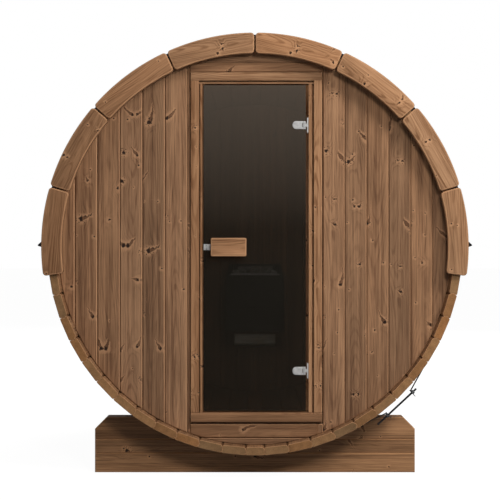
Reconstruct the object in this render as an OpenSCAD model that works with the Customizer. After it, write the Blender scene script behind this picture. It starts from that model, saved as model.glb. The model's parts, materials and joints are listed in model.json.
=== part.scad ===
// Barrel sauna: a stave barrel lying on two cradles, with a glass door in the front wall.
// Millimetres, +Z up, front wall faces -Y, origin on the floor under the middle of the barrel.

/* [Barrel] */
// Outside radius of the stave barrel
barrel_r = 1000; // [850:1:1200]
// Thickness of a stave
stave_t = 41; // [28:1:60]
// Length of the staves
barrel_len = 2400; // [1200:10:3000]
// Height of the barrel's centre line above the floor
axis_z = 1126; // [950:1:1400]
// Angle that one full stave covers
stave_step = 6.745; // [4:0.005:12]
// Angle of the narrow closing stave at the bottom
closing_stave = 5.3; // [2:0.1:7]

/* [End walls] */
// Distance from the stave ends to the outside of an end wall
wall_inset = 70; // [30:1:200]
// Thickness of the wall boards
wall_t = 42; // [20:1:60]
// Width of the vent through the back wall
vent_w = 278; // [100:1:400]
// Height of the vent in the back wall
vent_h = 80; // [40:1:150]
// Height of the vent's top edge, counted down from the centre line
vent_drop = 576; // [300:1:700]

/* [Door frame] */
// Left outer edge of the door frame, from the centre line
frame_left = -312; // [-400:1:-250]
// Right outer edge of the door frame, from the centre line
frame_right = 327; // [250:1:400]
// Top of the door frame, from the centre line
frame_top = 854; // [700:1:880]
// Bottom of the door frame, from the centre line
frame_bottom = -845; // [-880:1:-700]
// Face width of a jamb
jamb_w = 41; // [30:1:60]
// Face height of the frame head
head_h = 40; // [30:1:60]
// Face height of the sill
sill_h = 45; // [30:1:70]
// How far the frame stands out in front of the wall
frame_proud = 12; // [0:1:30]
// Depth of the frame, front to back
frame_depth = 62; // [45:1:100]

/* [Door leaf] */
// Left edge of the glass, from the centre line
glass_left = -250; // [-300:1:-200]
// Right edge of the glass, from the centre line
glass_right = 248; // [200:1:300]
// Top edge of the glass, from the centre line
glass_top = 793; // [600:1:830]
// Bottom edge of the glass, from the centre line
glass_bottom = -793; // [-830:1:-600]
// Thickness of the glass
glass_t = 8; // [6:1:12]
// How far the glass lies behind the front of the frame
glass_setback = 8; // [2:1:30]
// Hinge pin, from the centre line to the right
pin_x = 240; // [190:1:290]
// Height of each hinge above or below the centre line
hinge_z = 598; // [400:1:700]
// Length of the wooden handle
handle_w = 173; // [100:1:250]
// Height of the wooden handle
handle_h = 90; // [50:1:140]
// Depth of the wooden handle
handle_d = 40; // [25:1:60]

/* [Arches] */
// Outside radius of the board arches
arch_r = 1025; // [900:1:1250]
// Width of an arch board
arch_w = 99; // [60:1:140]
// Thickness of an arch board
arch_t = 30; // [18:1:45]
// How far the arches' centre lies above the barrel's centre line
arch_rise = 8; // [0:1:20]
// Angle that one arch board covers, its gap included
arch_step = 24.55; // [15:0.05:45]
// Gap between two arch boards
arch_gap = 7; // [1:0.5:12]
// Corner cut of an arch board
arch_corner = 14; // [2:1:20]

/* [Roof cover] */
// Thickness of the shingle cover
roof_t = 9; // [4:1:20]
// Reach of the drip edge from the centre line
drip_reach = 1046; // [1030:1:1100]

/* [Hoops] */
// Width of a steel hoop
hoop_w = 30; // [15:1:60]
// Thickness of a steel hoop
hoop_t = 1.6; // [1:0.1:3]
// Distance from the stave ends to the middle of a hoop
hoop_inset = 75; // [45:1:250]
// Diameter of the tension rod
rod_d = 10; // [6:1:12]
// Angle of the tension rod below the horizontal, on the right side
lug_angle = 47; // [20:1:60]

/* [Cradles] */
// Length of a cradle across the barrel
cradle_w = 1606; // [1200:2:2000]
// Height of a cradle's ends
cradle_h = 277; // [180:1:400]
// Thickness of a cradle along the barrel
cradle_t = 90; // [60:1:150]
// Distance from the stave ends to the face of a cradle
cradle_inset = 250; // [100:1:600]
// Corner cut on a cradle's top ends
cradle_cut = 59; // [0:1:120]

/* [Heater] */
// Width of the heater's housing
heater_w = 381; // [280:1:500]
// Depth of the heater's housing
heater_d = 280; // [200:1:400]
// Height of the heater's housing
heater_h = 431; // [250:1:600]
// Top of the heater's housing, counted down from the centre line
heater_drop = 105; // [0:1:400]

/* [Hidden] */
$fn = 200;
inner_r = barrel_r - stave_t;
end_y = barrel_len / 2;
wall_r = inner_r - 0.4;
front_wall_y = -end_y + wall_inset;
back_wall_y = end_y - wall_inset;
frame_front = front_wall_y - frame_proud;
frame_back = frame_front + frame_depth;
glass_front = frame_front + glass_setback;
glass_back = glass_front + glass_t;
pin_y = glass_front + glass_t / 2;
wall_gap = 4;
lip_gap = 8;
// clear opening between the light strips beside the leaf
strip_left = -256;
strip_right = 261;
strip_top = 799;
left_strip_w = 10.5;
right_strip_w = 16;
slot_left = frame_left + jamb_w;
strip_setback = 6;
slot_depth = 27;
sill_top = frame_bottom + sill_h;
// shell groups run clockwise seen from the front, from the bottom closing stave
bottom_half = closing_stave / 2 + 4 * stave_step;
lower_end = bottom_half + 9 * stave_step;
upper_end = lower_end + 9 * stave_step;
// roof and hoop radii
hoop_r = barrel_r + 0.3;
roof_r = barrel_r + 3;
roof_start = 3;
pull_angle = 17.9;
lug_at = 80;
lug_reach = 1060;
rod_r = 1038;
rod_up = 108;
rod_down = 150;
nut_w = 17;
nut_h = 8;
// hinge parts
knuckle_r = 8.5;
knuckle_h = 17;
clamp_h = 39;
clamp_left = 183;
clamp_right = 230;
clamp_plate = 7;
plate_h = 74;
plate_near = 253.5;
plate_depth = 46;
notch_left = 226;
notch_h = 44;
strap_h = 30;
strap_t = 3;
handle_left = -214;
handle_mid = 4;
grille_t = 10;
grille_rim = 16;
heater_gap = 40;
stone_h = 65;
tray_half = 147;
tray_back = 40;

// ---------- shared shapes ----------

// Extrudes an X-Z outline along Y, with the outline's origin on the barrel's centre line.
module along_y(y0, y1) {
  translate([0, y1, axis_z]) rotate([90, 0, 0]) linear_extrude(y1 - y0) children();
}

// Ring sector; angles count anticlockwise from +X, seen from the front.
module sector(r0, r1, a0, a1) {
  am = (a0 + a1) / 2;
  reach = r1 * 1.5;
  intersection() {
    difference() { circle(r1); circle(r0); }
    polygon([[0, 0], reach * [cos(a0), sin(a0)], reach * [cos(am), sin(am)],
             reach * [cos(a1), sin(a1)]]);
  }
}

// Ring sector with its corners cut.
module cut_sector(r0, r1, a0, a1, c) {
  difference() {
    sector(r0, r1, a0, a1);
    for (r = [r0, r1], a = [a0, a1])
      rotate(a) translate([r, 0]) rotate(45) square(c * sqrt(2), center = true);
  }
}

module shell_part(a0, a1) {
  color("peru") along_y(-end_y, end_y) sector(inner_r, barrel_r, a0, a1);
}

// Part of a round end wall between two X and two Z limits.
module wall_part(y0, x0, x1, z0, z1) {
  color("sienna") along_y(y0, y0 + wall_t) intersection() {
    circle(wall_r);
    translate([x0, z0]) square([x1 - x0, z1 - z0]);
  }
}

module arch_board(y0, a0, a1) {
  half_gap = asin(arch_gap / 2 / arch_r);
  color("peru") translate([0, 0, arch_rise]) along_y(y0, y0 + arch_t)
    cut_sector(arch_r - arch_w, arch_r, a0 + half_gap, a1 - half_gap, arch_corner);
}

// Front arch boards count clockwise from the lower left end.
module front_arch(n) {
  arch_board(-end_y - arch_t, 90 + (3 - n) * arch_step, 90 + (4 - n) * arch_step);
}

module rear_arch(a0, a1) { arch_board(end_y, a0, a1); }

// Half of the shingle cover; side is 1 or -1.
module roof_half(side) {
  color("dimgray") along_y(-end_y + 1, end_y - 1) mirror([side < 0 ? 1 : 0, 0])
    sector(roof_r, roof_r + roof_t, roof_start, 89.98);
}

// Flared drip edge along the lower end of the shingles.
module drip_edge(side) {
  x0 = roof_r + roof_t + 0.3;
  color("black") along_y(-end_y + 1, end_y - 1) mirror([side < 0 ? 1 : 0, 0])
    polygon([[x0, 4], [x0, 60], [x0 + 3, 62], [x0 + 9, 38], [drip_reach, 15],
             [drip_reach - 2, 10], [x0 + 14, 4]]);
}

// Steel hoop round the barrel; its ends run straight to two lugs.
module hoop(y_mid) {
  run = (hoop_r * sin(pull_angle) - lug_at + 2) / cos(pull_angle);
  open_tip = 2 * hoop_r * [cos(pull_angle), sin(pull_angle)];
  lug_foot = hoop_r + 22;
  color("silver") translate([0, y_mid - hoop_w / 2, axis_z]) rotate([-90, 0, 0])
    rotate(lug_angle) difference() {
      linear_extrude(hoop_w) {
        difference() {
          circle(hoop_r + hoop_t);
          circle(hoop_r);
          polygon([[0, 0], open_tip, [open_tip[0], -open_tip[1]]]);
        }
        for (s = [1, -1]) {
          rotate(s * pull_angle) translate([hoop_r + 0.2, s > 0 ? -run : -10])
            square([hoop_t - 0.4, run + 10]);
          translate([lug_foot, s > 0 ? lug_at - 3 : -lug_at]) square([lug_reach - lug_foot, 3]);
        }
      }
      translate([rod_r, 0, hoop_w / 2]) rotate([90, 0, 0])
        cylinder(d = rod_d + 1, h = 3 * lug_at, center = true);
    }
}

// Threaded rod with a washer and nut behind each lug.
module tension_rod(y_mid) {
  color("gray") translate([0, y_mid, axis_z]) rotate([0, lug_angle, 0])
    translate([rod_r, 0, 0]) {
      translate([0, 0, -rod_down]) cylinder(d = rod_d, h = rod_down + rod_up);
      for (s = [1, -1]) {
        translate([0, 0, s * (lug_at + 1)]) cylinder(d = 2.2 * rod_d, h = 1.6, center = true);
        translate([0, 0, s * (lug_at + 1.6 + nut_h / 2)])
          cylinder(d = nut_w / cos(30), h = nut_h, center = true, $fn = 6);
      }
    }
}

module cradle(y0) {
  half = cradle_w / 2;
  low = -axis_z;
  high = cradle_h - axis_z;
  color("saddlebrown") along_y(y0, y0 + cradle_t) difference() {
    polygon([[-half, low], [half, low], [half, high - cradle_cut], [half - cradle_cut, high],
             [cradle_cut - half, high], [-half, high - cradle_cut]]);
    circle(barrel_r + 0.4);
  }
}

// Wall plate with the fixed middle knuckle.
module hinge_plate(z_mid) {
  color("lightgray") translate([0, 0, axis_z + z_mid]) {
    translate([plate_near, pin_y - 4, -plate_h / 2])
      cube([strip_right - plate_near, plate_depth, plate_h]);
    translate([pin_x, pin_y, -knuckle_h / 2 + 0.5]) cylinder(r = knuckle_r, h = knuckle_h - 1);
    translate([pin_x, pin_y - 4, -knuckle_h / 2 + 0.5])
      cube([plate_near - pin_x + 1, 8, knuckle_h - 1]);
  }
}

// Clamp on the leaf: two plates on the glass, joined to an upper and a lower knuckle.
module hinge_clamp(z_mid) {
  half = clamp_h / 2;
  round_r = 18;
  color("lightgray") translate([0, 0, axis_z + z_mid]) {
    for (y0 = [glass_front - clamp_plate, glass_back])
      translate([0, y0 + clamp_plate, 0]) rotate([90, 0, 0]) linear_extrude(clamp_plate) {
        translate([clamp_left + round_r, -half])
          square([clamp_right - clamp_left - round_r, clamp_h]);
        translate([clamp_left, round_r - half]) square([round_r + 1, clamp_h - 2 * round_r]);
        for (z = [round_r - half, half - round_r])
          translate([clamp_left + round_r, z]) circle(round_r);
      }
    for (z0 = [knuckle_h / 2, -half]) translate([0, 0, z0]) {
      translate([pin_x, pin_y, 0]) cylinder(r = knuckle_r, h = half - knuckle_h / 2);
      translate([notch_left + 1, pin_y - 6, 0])
        cube([pin_x - notch_left - 1, 12, half - knuckle_h / 2]);
    }
  }
}

module handle(y0) {
  r = 6;
  color("peru") along_y(y0, y0 + handle_d) {
    translate([handle_left + r, handle_mid - handle_h / 2])
      square([handle_w - 2 * r, handle_h]);
    translate([handle_left, handle_mid - handle_h / 2 + r])
      square([handle_w, handle_h - 2 * r]);
    for (x = [r, handle_w - r], z = [r - handle_h / 2, handle_h / 2 - r])
      translate([handle_left + x, handle_mid + z]) circle(r);
  }
}

// ---------- barrel shell ----------

module shell_bottom() { shell_part(-90 - bottom_half, -90 + bottom_half); }
module shell_lower_right() { shell_part(-90 + bottom_half, -90 + lower_end); }
module shell_upper_right() { shell_part(-90 + lower_end, -90 + upper_end); }
module shell_top() { shell_part(-90 + upper_end, 270 - upper_end); }
module shell_upper_left() { shell_part(270 - upper_end, 270 - lower_end); }
module shell_lower_left() { shell_part(270 - lower_end, 270 - bottom_half); }

// ---------- end walls ----------

module front_wall_left() {
  wall_part(front_wall_y, -wall_r, frame_left - wall_gap, -wall_r, wall_r);
}
module front_wall_right() {
  wall_part(front_wall_y, frame_right + wall_gap, wall_r, -wall_r, wall_r);
}
module front_wall_above_door() {
  wall_part(front_wall_y, frame_left - wall_gap, frame_right + wall_gap, frame_top + 2, wall_r);
}
module front_wall_below_door() {
  wall_part(front_wall_y, frame_left - wall_gap, frame_right + wall_gap,
            -wall_r, frame_bottom - 12);
}
module back_wall_upper() {
  wall_part(back_wall_y - wall_t, -wall_r, wall_r, -vent_drop, wall_r);
}
module back_wall_lower() {
  difference() {
    wall_part(back_wall_y - wall_t, -wall_r, wall_r, -wall_r, -vent_drop);
    along_y(back_wall_y - 2 * wall_t, back_wall_y + wall_t)
      translate([-vent_w / 2, -vent_drop - vent_h]) square([vent_w, vent_h + 1]);
  }
}
// Louvred cover over the vent, on the outside of the back wall.
module vent_grille() {
  color("gray") translate([0, back_wall_y, axis_z - vent_drop - vent_h / 2]) {
    translate([0, grille_t, 0]) rotate([90, 0, 0]) linear_extrude(grille_t) difference() {
      square([vent_w + 2 * grille_rim, vent_h + 2 * grille_rim], center = true);
      square([vent_w - 8, vent_h - 8], center = true);
    }
    for (i = [-2:2]) translate([0, 2, i * 14]) rotate([-45, 0, 0])
      cube([vent_w - 4, 18, 1.6], center = true);
  }
}

// ---------- door frame ----------

// Jamb outline seen from above: face block, dark slot, light strip and closing lip.
module door_frame_left() {
  back = frame_back;
  front = frame_front;
  strip = front + strip_setback;
  inner = strip_left - left_strip_w;
  color("peru") translate([0, 0, axis_z + sill_top]) {
    linear_extrude(frame_top - head_h - sill_top)
      translate([frame_left, front]) square([jamb_w, frame_depth]);
    linear_extrude(strip_top - sill_top) polygon([
      [slot_left - 1, back], [slot_left - 1, front + slot_depth], [inner, front + slot_depth],
      [inner, strip], [strip_left, strip], [strip_left, glass_back + lip_gap],
      [strip_left + 14, glass_back + lip_gap], [strip_left + 14, back]]);
  }
}
module door_frame_right() {
  back = frame_back;
  front = frame_front;
  strip = front + strip_setback;
  inner = strip_right + right_strip_w;
  color("peru") translate([0, 0, axis_z + sill_top]) {
    linear_extrude(frame_top - head_h - sill_top)
      translate([frame_right - jamb_w, front]) square([jamb_w, frame_depth]);
    linear_extrude(strip_top - sill_top) polygon([
      [frame_right - jamb_w + 1, back], [frame_right - jamb_w + 1, front + slot_depth],
      [inner, front + slot_depth], [inner, strip], [strip_right, strip], [strip_right, back]]);
  }
}
module door_frame_head() {
  front = frame_front;
  color("peru") translate([0, 0, axis_z]) {
    translate([frame_left, front, frame_top - head_h])
      cube([frame_right - frame_left, frame_depth, head_h]);
    translate([slot_left, front + slot_depth, strip_top + 7])
      cube([frame_right - jamb_w - slot_left, frame_depth - slot_depth,
            frame_top - head_h - strip_top - 6]);
    translate([slot_left, front + strip_setback, strip_top])
      cube([frame_right - jamb_w - slot_left, frame_depth - strip_setback, 7.5]);
  }
}
// Sill outline seen from the side: bevelled front edge and a low tongue behind the boards.
module door_sill() {
  front = frame_front - 4;
  color("peru") translate([frame_left, 0, axis_z]) rotate([90, 0, 90])
    linear_extrude(frame_right - frame_left) polygon([
      [front, frame_bottom], [front, sill_top - 8], [front + 6, sill_top],
      [frame_back, sill_top], [frame_back, frame_bottom - 11.5],
      [front_wall_y + 16, frame_bottom - 11.5], [front_wall_y + 16, frame_bottom]]);
}
module hinge_plate_upper() { hinge_plate(hinge_z); }
module hinge_plate_lower() { hinge_plate(-hinge_z); }

// ---------- door leaf ----------

module door_glass() {
  color("slategray", 0.5) along_y(glass_front, glass_back) difference() {
    translate([glass_left, glass_bottom])
      square([glass_right - glass_left, glass_top - glass_bottom]);
    for (z = [hinge_z, -hinge_z])
      translate([notch_left, z - notch_h / 2]) square([glass_right, notch_h]);
  }
}
module hinge_clamp_upper() { hinge_clamp(hinge_z); }
module hinge_clamp_lower() { hinge_clamp(-hinge_z); }
module handle_outside() { handle(glass_front - handle_d); }
module handle_inside() { handle(glass_back); }
// Steel strap from the handle to the edge of the glass; the handle is housed over its end.
module catch_strap() {
  color("lightgray") along_y(glass_front - strap_t, glass_front)
    translate([glass_left, handle_mid - strap_h / 2])
      square([handle_left - glass_left - 0.2, strap_h]);
}

// ---------- arches ----------

module front_arch_1() { front_arch(0); }
module front_arch_2() { front_arch(1); }
module front_arch_3() { front_arch(2); }
module front_arch_4() { front_arch(3); }
module front_arch_5() { front_arch(4); }
module front_arch_6() { front_arch(5); }
module front_arch_7() { front_arch(6); }
module front_arch_8() { front_arch(7); }
module rear_arch_left() { rear_arch(90, 90 + 4 * arch_step); }
module rear_arch_right() { rear_arch(90 - 4 * arch_step, 90); }

// ---------- roof cover, hoops and cradles ----------

module roof_cover_left() { roof_half(-1); }
module roof_cover_right() { roof_half(1); }
module drip_edge_left() { drip_edge(-1); }
module drip_edge_right() { drip_edge(1); }
module front_hoop() { hoop(-end_y + hoop_inset); }
module rear_hoop() { hoop(end_y - hoop_inset); }
module front_tension_rod() { tension_rod(-end_y + hoop_inset); }
module rear_tension_rod() { tension_rod(end_y - hoop_inset); }
module front_cradle() { cradle(-end_y + cradle_inset); }
module rear_cradle() { cradle(end_y - cradle_inset - cradle_t); }

// ---------- heater ----------

// Housing with sloping shoulders, an open tray for the stones, and the bracket that holds it
// off the back wall.
module heater_body() {
  y1 = back_wall_y - wall_t - heater_gap;
  top = -heater_drop;
  low = top - heater_h;
  shoulder = heater_w / 2 - 24;
  color("dimgray") {
    difference() {
      along_y(y1 - heater_d, y1) polygon([
        [-heater_w / 2, low], [heater_w / 2, low], [heater_w / 2, top - stone_h - 30],
        [shoulder, top], [-shoulder, top], [-heater_w / 2, top - stone_h - 30]]);
      along_y(y1 - heater_d - 5, y1 - tray_back)
        translate([-tray_half, top - stone_h]) square([2 * tray_half, stone_h + 5]);
    }
    along_y(y1 - 1, y1 + heater_gap) for (x = [-90, 60])
      translate([x, low + 60]) square([30, 180]);
  }
}

// Heap of stones in the heater's tray, as one low mound.
module heater_stones() {
  y1 = back_wall_y - wall_t - heater_gap;
  low = -heater_drop - stone_h;
  half = tray_half - 3;
  color("gray") along_y(y1 - heater_d + 6, y1 - tray_back - 3) polygon([
    [-half, low], [half, low], [half - 12, low + stone_h * 0.75],
    [30, low + stone_h * 0.93], [12 - half, low + stone_h * 0.7]]);
}

shell_top();
shell_upper_right();
shell_lower_right();
shell_bottom();
shell_lower_left();
shell_upper_left();
front_wall_left();
front_wall_right();
front_wall_above_door();
front_wall_below_door();
back_wall_upper();
back_wall_lower();
vent_grille();
door_frame_head();
door_frame_left();
door_frame_right();
door_sill();
hinge_plate_upper();
hinge_plate_lower();
door_glass();
hinge_clamp_upper();
hinge_clamp_lower();
handle_outside();
handle_inside();
catch_strap();
front_arch_1();
front_arch_2();
front_arch_3();
front_arch_4();
front_arch_5();
front_arch_6();
front_arch_7();
front_arch_8();
rear_arch_left();
rear_arch_right();
roof_cover_left();
roof_cover_right();
drip_edge_left();
drip_edge_right();
front_hoop();
rear_hoop();
front_tension_rod();
rear_tension_rod();
front_cradle();
rear_cradle();
heater_body();
heater_stones();
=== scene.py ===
import json
import math
import random

import bmesh
import bpy
from mathutils import Matrix, Vector
from mathutils import noise as mathutils_noise


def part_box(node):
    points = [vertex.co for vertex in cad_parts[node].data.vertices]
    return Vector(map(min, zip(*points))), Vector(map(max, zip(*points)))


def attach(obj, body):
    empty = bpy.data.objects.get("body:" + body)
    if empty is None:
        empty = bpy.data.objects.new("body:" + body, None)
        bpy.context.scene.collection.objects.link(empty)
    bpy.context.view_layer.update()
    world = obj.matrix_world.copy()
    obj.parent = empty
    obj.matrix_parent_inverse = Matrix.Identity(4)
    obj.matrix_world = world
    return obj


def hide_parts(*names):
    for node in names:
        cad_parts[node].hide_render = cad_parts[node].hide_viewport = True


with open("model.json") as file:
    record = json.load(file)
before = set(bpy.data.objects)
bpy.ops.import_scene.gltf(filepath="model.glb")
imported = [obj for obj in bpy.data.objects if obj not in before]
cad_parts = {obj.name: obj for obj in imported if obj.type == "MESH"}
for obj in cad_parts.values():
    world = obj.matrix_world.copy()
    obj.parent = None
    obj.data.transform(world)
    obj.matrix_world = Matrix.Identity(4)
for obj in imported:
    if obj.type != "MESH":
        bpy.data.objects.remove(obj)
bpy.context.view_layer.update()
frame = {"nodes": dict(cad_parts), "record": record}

# ---------------------------------------------------------------- sizes, in metres
barrel_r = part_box("shell_lower_right")[1][0]
axis_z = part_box("shell_bottom")[0][2] + barrel_r
end_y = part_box("shell_bottom")[1][1]
wall_r = -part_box("front_wall_left")[0][0]
inner_r = wall_r + 0.0004
front_y0, front_y1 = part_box("front_wall_left")[0][1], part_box("front_wall_left")[1][1]
back_y0, back_y1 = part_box("back_wall_upper")[0][1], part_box("back_wall_upper")[1][1]
stave_step = 6.745
closing_stave = 5.3
arch_r = 1.025
arch_w = 0.099
arch_rise = 0.008
arch_step = 24.55
arch_gap = 0.007
roof_r = barrel_r + 0.003
pin = Vector(frame["record"]["behaviour"]["joints"][0]["pos_m"])
grille_rim = 0.016
vent_half_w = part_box("vent_grille")[1][0] - grille_rim
vent_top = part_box("vent_grille")[1][2] - grille_rim - axis_z
vent_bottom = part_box("vent_grille")[0][2] + grille_rim - axis_z
lug_angle = 47
rod_at = 1.038

rng = random.Random(11)


# ---------------------------------------------------------------- node helpers
class Value:
    """A shader socket that takes part in sums. Plain numbers are set straight on the sockets."""

    def __init__(self, t, socket):
        self.t, self.socket = t, socket

    def __add__(self, other):
        return maths(self.t, "ADD", self, other)

    def __radd__(self, other):
        return maths(self.t, "ADD", other, self)

    def __sub__(self, other):
        return maths(self.t, "SUBTRACT", self, other)

    def __rsub__(self, other):
        return maths(self.t, "SUBTRACT", other, self)

    def __mul__(self, other):
        return maths(self.t, "MULTIPLY", self, other)

    def __truediv__(self, other):
        return maths(self.t, "DIVIDE", self, other)


def new_material(name):
    m = bpy.data.materials.new(name)
    m.use_nodes = True
    t = m.node_tree
    t.nodes.clear()
    out = t.nodes.new("ShaderNodeOutputMaterial")
    bsdf = t.nodes.new("ShaderNodeBsdfPrincipled")
    t.links.new(bsdf.outputs[0], out.inputs[0])
    return m, t, bsdf


def put(t, value, socket):
    """Links a socket, or sets a plain value."""
    if isinstance(value, Value):
        value = value.socket
    if isinstance(value, bpy.types.NodeSocket):
        t.links.new(value, socket)
    elif value is not None:
        socket.default_value = value


def maths(t, op, a, b=0.0, clamp=False):
    n = t.nodes.new("ShaderNodeMath")
    n.operation = op
    n.use_clamp = clamp
    put(t, a, n.inputs[0])
    put(t, b, n.inputs[1])
    return Value(t, n.outputs[0])


def fract(value):
    return maths(value.t, "FRACT", value)


def root(value):
    return maths(value.t, "SQRT", value)


def mapped(t, value, lo, hi, to_lo=0.0, to_hi=1.0, smooth=False):
    n = t.nodes.new("ShaderNodeMapRange")
    n.interpolation_type = "SMOOTHSTEP" if smooth else "LINEAR"
    for i, v in enumerate((value, lo, hi, to_lo, to_hi)):
        put(t, v, n.inputs[i])
    return Value(t, n.outputs[0])


def xyz(t, x, y, z):
    n = t.nodes.new("ShaderNodeCombineXYZ")
    for i, v in enumerate((x, y, z)):
        put(t, v, n.inputs[i])
    return Value(t, n.outputs[0])


def split(t, vector):
    n = t.nodes.new("ShaderNodeSeparateXYZ")
    put(t, vector, n.inputs[0])
    return [Value(t, n.outputs[i]) for i in range(3)]


def noise(t, vector, scale=1.0, detail=2.0, rough=0.5):
    n = t.nodes.new("ShaderNodeTexNoise")
    put(t, vector, n.inputs["Vector"])
    n.inputs["Scale"].default_value = scale
    n.inputs["Detail"].default_value = detail
    n.inputs["Roughness"].default_value = rough
    return Value(t, n.outputs[0])


def blend_colour(t, factor, a, b, mode="MIX"):
    n = t.nodes.new("ShaderNodeMix")
    n.data_type = "RGBA"
    n.blend_type = mode
    put(t, factor, n.inputs[0])
    for value, socket in ((a, n.inputs[6]), (b, n.inputs[7])):
        if isinstance(value, tuple):
            socket.default_value = (*value[:3], 1.0)
        else:
            put(t, value, socket)
    return Value(t, n.outputs[2])


def shaded(t, colour, shade, hue=None):
    """Scales a colour, and turns it to red or blue by hue."""
    green, blue = (shade, shade) if hue is None else (shade * root(hue), shade * hue)
    return blend_colour(t, 1.0, colour, xyz(t, shade, green, blue), "MULTIPLY")


def attribute(t, name, output):
    n = t.nodes.new("ShaderNodeAttribute")
    n.attribute_name = name
    return Value(t, n.outputs[output])


def bump(t, bsdf, height, distance, strength=1.0):
    n = t.nodes.new("ShaderNodeBump")
    n.inputs["Distance"].default_value = distance
    n.inputs["Strength"].default_value = strength
    put(t, height, n.inputs["Height"])
    t.links.new(n.outputs[0], bsdf.inputs["Normal"])


def voronoi(t, u, v, scale):
    n = t.nodes.new("ShaderNodeTexVoronoi")
    n.voronoi_dimensions = "2D"
    n.inputs["Scale"].default_value = scale
    put(t, xyz(t, u, v, 0.0), n.inputs["Vector"])
    return n


# ---------------------------------------------------------------- materials
def knots_at(t, u, v, cell_u, cell_v, chance, small, large, longest, pairs=0.5):
    """Spike knots, one in some cells of a grid: a dark head with one or two tapering branches.
    Returns the masks of the head, the branch, its edge and the pale rim, then the distance from
    the head in knot widths and whether the cell has a knot."""
    pu, pv = u / cell_u, v / cell_v
    cells = voronoi(t, pu, pv, 1.0)
    cells.inputs["Randomness"].default_value = 0.8
    cu, cv, _ = split(t, cells.outputs["Position"])
    pick, size, turn = split(t, cells.outputs["Color"])
    ragged = small * 1.9
    rough = noise(t, xyz(t, u * 70, v * 70, 0.0), detail=3.0)
    rough_b = noise(t, xyz(t, u * 60, v * 60, 7.0), detail=3.0)
    du = (pu - cu) * cell_u + mapped(t, rough, 0, 1, -ragged, ragged)
    dv = (pv - cv) * cell_v + mapped(t, rough_b, 0, 1, -ragged, ragged)
    # the branch leans up the board to one side, or there is one to each side
    side = maths(t, "GREATER_THAN", turn, 0.5) * 2.0 - 1.0
    both = maths(t, "GREATER_THAN", fract(turn * 13.0), 1.0 - pairs)
    one_side = dv * side
    two_sides = maths(t, "ABSOLUTE", dv) - small * 2.2
    out = one_side + both * (two_sides - one_side)
    lean = mapped(t, fract(turn * 7.0), 0, 1, 0.1, 1.2)
    cos, sin = maths(t, "COSINE", lean), maths(t, "SINE", lean)
    s = out * cos + du * sin
    q = out * sin - du * cos + s * s * 4.0
    shown = maths(t, "LESS_THAN", pick, chance)
    width = mapped(t, size, 0, 1, small, large)
    reach = mapped(t, fract(size * 5.0), 0.25, 1, small * 2, longest)
    ahead = maths(t, "MAXIMUM", s, 0.0)
    behind = maths(t, "MINIMUM", s, 0.0)
    taper = maths(t, "MAXIMUM", 1.0 - ahead / reach, 0.04)
    ratio = root(q * q + behind * behind) / (width * taper)
    from_head = root(du * du + out * out) / width
    # a few specks beside the head
    specks = voronoi(t, u, v, 85.0)
    specks_on = (mapped(t, Value(t, specks.outputs["Distance"]), 0.14, 0.24, 1.0, 0.0)
                 * maths(t, "LESS_THAN", from_head, 3.0)
                 * maths(t, "LESS_THAN", fract(turn * 29.0), pairs))

    def step(value, lo, hi, to_lo=0.0, to_hi=1.0):
        return mapped(t, value, lo, hi, to_lo, to_hi, smooth=True)

    masks = [maths(t, "MAXIMUM", step(from_head, 0.7, 0.95, 1.0, 0.0), specks_on),
             step(ratio, 0.8, 1.1, 1.0, 0.0),
             step(ratio, 0.55, 0.95) * step(ratio, 1.0, 1.3, 1.0, 0.0),
             step(ratio, 1.1, 1.3) * step(ratio, 1.4, 4.2, 1.0, 0.0)]
    return [shown * m for m in masks], from_head, shown


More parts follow.
